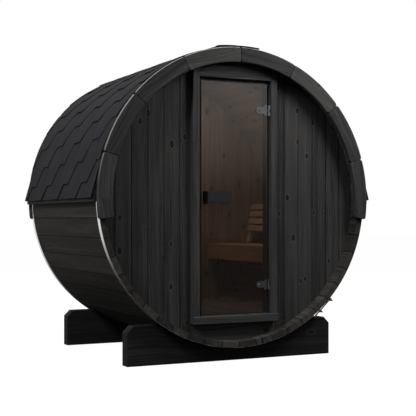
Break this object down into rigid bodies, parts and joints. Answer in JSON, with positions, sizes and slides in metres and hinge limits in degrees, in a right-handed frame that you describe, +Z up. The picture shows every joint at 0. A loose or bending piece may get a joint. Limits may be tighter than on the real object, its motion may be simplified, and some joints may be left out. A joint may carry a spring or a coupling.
{
  "type": "barrel sauna",
  "caption": "Wooden barrel sauna on two cradles, with a hinged glass door, shingled roof, steel hoops, and a bench with a backrest inside",
  "frame": {"origin": "on the ground, under the middle of the barrel's length and width", "axes": "+X to the right of someone facing the door, +Y from the door to the back wall along the barrel's axis, +Z up"},
  "size_m": [2.0492, 1.549, 2.0809],
  "materials": {
    "stained_wood": "matt dark stain",
    "inside_wood": "planed softwood",
    "roof_felt": "mineral surfaced bitumen",
    "hoop_steel": "bright rolled strip",
    "hinge_metal": "satin chrome",
    "handle_metal": "satin",
    "handle_black": "satin black",
    "door_glass": "bronze tinted, clear"
  },
  "bodies": {
    "cabin": {"back_cradle": "stained_wood", "back_fascia_left": "stained_wood", "back_fascia_right": "stained_wood", "back_hoop": "hoop_steel", "back_hoop_bolt": "hoop_steel", "back_wall_left": "stained_wood", "back_wall_right": "stained_wood", "backrest": "inside_wood", "bench_bearers": "inside_wood", "bench_front_board": "inside_wood", "bench_slats": "inside_wood", "door_head": "stained_wood", "door_jamb_left": "stained_wood", "door_jamb_right": "stained_wood", "door_sill": "stained_wood", "door_stop": "stained_wood", "eave_batten_left": "stained_wood", "eave_batten_right": "stained_wood", "floor_boards": "inside_wood", "floor_joists": "inside_wood", "front_cradle": "stained_wood", "front_fascia_left": "stained_wood", "front_fascia_right": "stained_wood", "front_hoop": "hoop_steel", "front_hoop_bolt": "hoop_steel", "front_wall_below_door": "stained_wood", "front_wall_left": "stained_wood", "front_wall_right": "stained_wood", "hinge_base_bottom": "hinge_metal", "hinge_base_top": "hinge_metal", "roof_left": "roof_felt", "roof_right": "roof_felt", "staves_bottom_left": "stained_wood", "staves_bottom_right": "stained_wood", "staves_left_lower": "stained_wood", "staves_left_upper": "stained_wood", "staves_right_lower": "stained_wood", "staves_right_upper": "stained_wood", "staves_top_left": "stained_wood", "staves_top_right": "stained_wood"},
    "door": {"door_glass": "door_glass", "handle_block": "handle_black", "handle_pull": "handle_metal", "hinge_leaf_top": "hinge_metal", "hinge_leaf_bottom": "hinge_metal"}
  },
  "joints": [
    {"name": "door_swing", "type": "hinge", "parent": "cabin", "child": "door", "pos_m": [0.2575, -0.6875, 1.081], "axis": [0, 0, 1], "range_deg": [0, 110]}
  ]
}
